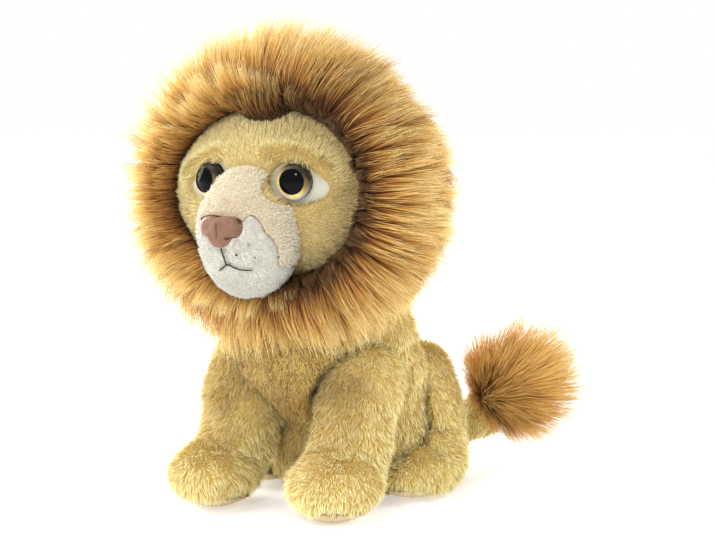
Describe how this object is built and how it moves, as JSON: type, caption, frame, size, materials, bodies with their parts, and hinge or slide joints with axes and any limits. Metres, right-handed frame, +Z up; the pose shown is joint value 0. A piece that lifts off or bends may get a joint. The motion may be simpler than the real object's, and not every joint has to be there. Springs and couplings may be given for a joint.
{
  "type": "plush lion",
  "caption": "Sitting soft toy lion with a long-haired mane round a short-pile face, glossy eyes, moulded nose, padded paws and a curved tail with a tuft.",
  "frame": {"origin": "on the floor under the seat, in the middle plane of the body", "axes": "+X to the lion's left, -Y the way it looks, +Z up"},
  "size_m": [0.1891, 0.2452, 0.247],
  "materials": {
    "body_plush": "short shaggy pile, golden tan with paler tips",
    "face_plush": "short dense pile, light golden tan",
    "mane_fur": "long straight pile, dark brown roots, golden brown with pale tips",
    "cream_plush": "curly short pile, cream",
    "white_plush": "short fine pile, off-white",
    "sole_plush": "smooth short pile, pale pinkish beige",
    "white_felt": "thin pressed felt, off-white",
    "pouch_cloth": "plain woven cotton",
    "nose_plastic": "satin, dusty rose brown",
    "black_plastic": "glossy black",
    "iris_gold": "metallic gold-brown print",
    "clear_plastic": "clear polished acrylic",
    "washer_plastic": "matt white"
  },
  "bodies": {
    "torso": {"torso": "body_plush", "seat_panel": "sole_plush", "pellet_pouch": "pouch_cloth", "hind_leg_left": "body_plush", "hind_leg_right": "body_plush", "hind_sole_left": "sole_plush", "hind_sole_right": "sole_plush"},
    "head": {"head": "face_plush", "mane_crown": "mane_fur", "mane_left": "mane_fur", "mane_right": "mane_fur", "muzzle_bridge": "cream_plush", "lip_left": "white_plush", "lip_right": "white_plush", "chin": "white_plush", "nose": "nose_plastic", "nose_washer": "washer_plastic", "eye_white_left": "white_felt", "eye_post_left": "black_plastic", "iris_ring_left": "iris_gold", "eye_dome_left": "clear_plastic", "eye_washer_left": "washer_plastic", "eye_white_right": "white_felt", "eye_post_right": "black_plastic", "iris_ring_right": "iris_gold", "eye_dome_right": "clear_plastic", "eye_washer_right": "washer_plastic"},
    "foreleg_left": {"foreleg_left": "body_plush", "forepaw_sole_left": "sole_plush"},
    "foreleg_right": {"foreleg_right": "body_plush", "forepaw_sole_right": "sole_plush"},
    "tail": {"tail": "body_plush", "tail_tuft": "mane_fur"}
  },
  "joints": [
    {"name": "head_turn", "type": "hinge", "parent": "torso", "child": "head", "pos_m": [0, -0.026, 0.085], "axis": [0, 0, 1], "range_deg": [-20, 20], "stiffness_Nm_per_rad": 0.3},
    {"name": "foreleg_left_lift", "type": "hinge", "parent": "torso", "child": "foreleg_left", "pos_m": [0.033, -0.033, 0.066], "axis": [-1, 0, 0], "range_deg": [0, 15], "stiffness_Nm_per_rad": 0.1},
    {"name": "foreleg_right_lift", "type": "hinge", "parent": "torso", "child": "foreleg_right", "pos_m": [-0.033, -0.033, 0.066], "axis": [-1, 0, 0], "range_deg": [0, 15], "stiffness_Nm_per_rad": 0.1},
    {"name": "tail_swing", "type": "hinge", "parent": "torso", "child": "tail", "pos_m": [0, 0.052, 0.024], "axis": [0, 0, 1], "range_deg": [-4, 40], "stiffness_Nm_per_rad": 0.05}
  ]
}
